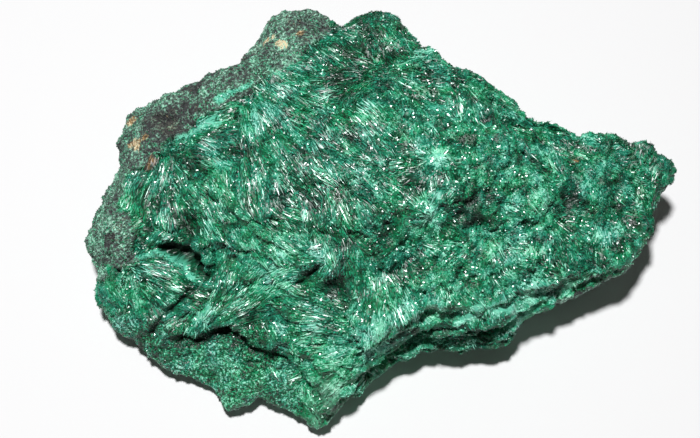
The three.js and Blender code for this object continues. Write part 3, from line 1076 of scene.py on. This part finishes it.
# %% The scatter as a geometry node group
def scatter_tree(
    name, where, per_mm2, size, loose, height, shade, seed,
    way="lying_way", bed="bed", kinds=(-0.03, 0.03),
):
    (length, width, thick), (disorder, pitch, roll), (low, high, skew) = size, loose, shade
    tree = new_group(name, {"Geometry": "Geometry"}, {"Geometry": "Geometry"}, "GeometryNodeTree")
    tree.is_modifier = True
    ground = tree.nodes.new("NodeGroupInput").outputs[0]
    density = math_node(tree, "MULTIPLY", field(tree, where), per_mm2 / MM**2)
    links = {0: ground, "Density": density, "Seed": seed}
    strewn = add(tree, "GeometryNodeDistributePointsOnFaces", links)
    way, bed = field(tree, way, "FLOAT_VECTOR"), field(tree, bed, "FLOAT_VECTOR")
    raised = vector_node(tree, "SCALE", bed, random_mm(tree, height, seed + 6))
    placed = add(tree, "GeometryNodeSetPosition", {0: strewn.outputs[0], "Offset": raised}).outputs[0]
    luck = math_node(tree, "POWER", random_value(tree, 0, 1, seed + 1), skew)
    luck = math_node(tree, "MULTIPLY_ADD", luck, high - low, low)
    tone = math_node(tree, "ADD", field(tree, "tone"), luck, clamp=True)
    placed = keep(tree, placed, "tone", tone)
    luck = random_value(tree, *kinds, seed + 8)
    placed = keep(tree, placed, "kind", math_node(tree, "ADD", field(tree, "kind"), luck, clamp=True))
    turn = random_value(tree, (-disorder,) * 3, (disorder,) * 3, seed + 2, "FLOAT_VECTOR")
    dip = vector_node(tree, "SCALE", bed, random_value(tree, -pitch, pitch, seed + 7))
    turn = vector_node(tree, "ADD", turn, dip)
    links = {"Vector": vector_node(tree, "ADD", way, turn)}
    turned = add(tree, "FunctionNodeAlignRotationToVector", links, axis="Z").outputs[0]
    links = {"Rotation": turned, "Vector": vector_node(tree, "SCALE", bed, -1.0)}
    turned = add(tree, "FunctionNodeAlignRotationToVector", links, axis="Y", pivot_axis="Z").outputs[0]
    links = {"Angle": random_value(tree, -roll, roll, seed + 3)}
    spin = add(tree, "FunctionNodeAxisAngleToRotation", links).outputs[0]
    links = {"Rotation": turned, "Rotate By": spin}
    turned = add(tree, "FunctionNodeRotateRotation", links, rotation_space="LOCAL").outputs[0]
    long = math_node(tree, "MULTIPLY", field(tree, "reach"), random_mm(tree, length, seed + 4))
    wide = random_mm(tree, width, seed + 5)
    flat = math_node(tree, "MULTIPLY", wide, thick)
    size = add(tree, "ShaderNodeCombineXYZ", {0: wide, 1: flat, 2: long}).outputs[0]
    one = add(tree, "GeometryNodeObjectInfo", {"Object": needle}).outputs["Geometry"]
    links = {"Points": placed, "Instance": one, "Rotation": turned, "Scale": size}
    copies = add(tree, "GeometryNodeInstanceOnPoints", links).outputs[0]
    real = add(tree, "GeometryNodeRealizeInstances", {0: copies}).outputs[0]
    across = math_node(tree, "MULTIPLY_ADD", field(tree, "tone"), 0.97, 0.015)
    across = math_node(tree, "MULTIPLY_ADD", field(tree, "side"), 0.004, across)
    upward = math_node(tree, "MULTIPLY_ADD", field(tree, "along"), 0.01, field(tree, "kind"))
    chart = add(tree, "ShaderNodeCombineXYZ", {0: across, 1: upward}).outputs[0]
    done = keep(tree, real, "OFBake", chart, "FLOAT2", "CORNER")
    add(tree, "NodeGroupOutput", {0: done})
    return tree


# %% [markdown]
# Short grains cover the whole break and silky needles follow the sprays. Blades and bright crystals
# are split open towards the light, so they flash. Their colour is also kept light, which is painted
# highlight on top of that real flash.


# %% Needles and grains of the break
def scatter(name, material, ground=mass, **settings):
    piece = add_object(name, ground.data.copy())
    apply_modifier(piece, "NODES", node_group=scatter_tree(name, **settings))
    spare = [a.name for a in piece.data.attributes if not (a.is_required or a.is_internal)]
    for name in set(spare) - {"OFBake", "sharp_face"}:
        piece.data.attributes.remove(piece.data.attributes[name])
    piece.data.materials.clear()
    piece.data.materials.append(material)
    print(piece.name, len(piece.data.polygons), "faces")
    return piece


pieces = [
    scatter(
        "crystal_grains_1", glassy, where="fresh_break", per_mm2=2.6, loose=(0.6, 0.2, 0.35),
        size=((0.5, 1.2), (0.3, 0.54), 0.5), height=(-0.1, 0.12), shade=(0.14, 0.84, 1.6), seed=100,
    ),
    scatter(
        "crystal_grains_2", glassy, where="fresh_break", per_mm2=3.3, loose=(0.8, 0.3, 0.4),
        size=((0.35, 0.9), (0.24, 0.44), 0.5), height=(0, 0.2), shade=(0.14, 0.86, 1.6), seed=600,
    ),
    scatter(
        "silky_needles_1", silky, where="silk", way="needle_way", per_mm2=2.8, loose=(0.1, 0.1, 0.25),
        size=((1.2, 3.4), (0.17, 0.31), 0.4), height=(-0.1, 0.12), shade=(0.1, 0.64, 1.4), seed=200,
    ),
    scatter(
        "silky_needles_2", silky, where="silk", way="needle_way", per_mm2=3.2, loose=(0.2, 0.2, 0.4),
        size=((0.7, 2.0), (0.17, 0.29), 0.45), height=(0, 0.2), shade=(0.1, 0.84, 1.5), seed=500,
    ),
    scatter(
        "silky_blades", silky, where="bright_silk", way="needle_way", per_mm2=3.6,
        loose=(0.07, 0.08, 0.18), size=((1.2, 3.2), (0.18, 0.36), 0.5), height=(0, 0.15),
        shade=(0.4, 1.0, 0.9), seed=300,
    ),
    scatter(
        "long_blades", silky, where="silk", way="needle_way", bed="open_side", per_mm2=0.15,
        loose=(0.06, 0.04, 0.15), size=((1.6, 3.8), (0.16, 0.32), 0.6), height=(0, 0.12),
        shade=(0.5, 1.05, 1), seed=1100,
    ),
    scatter(
        "bright_crystals", glassy, where="sparks", bed="open_side", per_mm2=0.52,
        loose=(0.8, 0.12, 0.15), size=((0.45, 0.95), (0.3, 0.6), 0.7), height=(0, 0.15),
        shade=(0.4, 0.9, 1), seed=900,
    ),
]

# %% [markdown]
# The shelf, the sheets and the rind are covered with crumbs instead: short, thick and turned every
# way. On the rind their kind varies most, so that grey crust and green lie side by side.

# %% Crumbs of the shelf, the sheets and the rind
pieces += [
    scatter(
        "shelf_grains", crumbly, where="grainy", per_mm2=7, loose=(1.2, 0.5, 3.1),
        size=((0.35, 0.8), (0.25, 0.45), 1.0), height=(-0.1, 0.1), shade=(0.05, 0.92, 1.7), seed=400,
    ),
    scatter(
        "sheet_grains", crumbly, ground=sheets, where="grainy", per_mm2=4.5, loose=(0.6, 0.3, 0.6),
        size=((0.4, 1.1), (0.2, 0.4), 0.7), height=(-0.1, 0.08), shade=(0, 0.75, 1.4), seed=1000,
    ),
    scatter(
        "rind_grains", crumbly, where="crust", per_mm2=7, loose=(1.2, 0.5, 3.1), kinds=(-0.4, 0.12),
        size=((0.3, 0.8), (0.25, 0.5), 1.0), height=(-0.1, 0.1), shade=(0, 0.84, 1.4), seed=700,
    ),
]
print("needles and grains:", sum(len(piece.data.polygons) for piece in pieces) // 6)

# %% [markdown]
# ## The pieces on the frame
# The mass stands in for the plain CAD solid. Every piece rides on the stone's one body.

# %% Tie the pieces to the frame and finish
bpy.data.objects.remove(needle)
for piece in [mass, sheets, *pieces]:
    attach(piece, "root")
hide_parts("malachite")
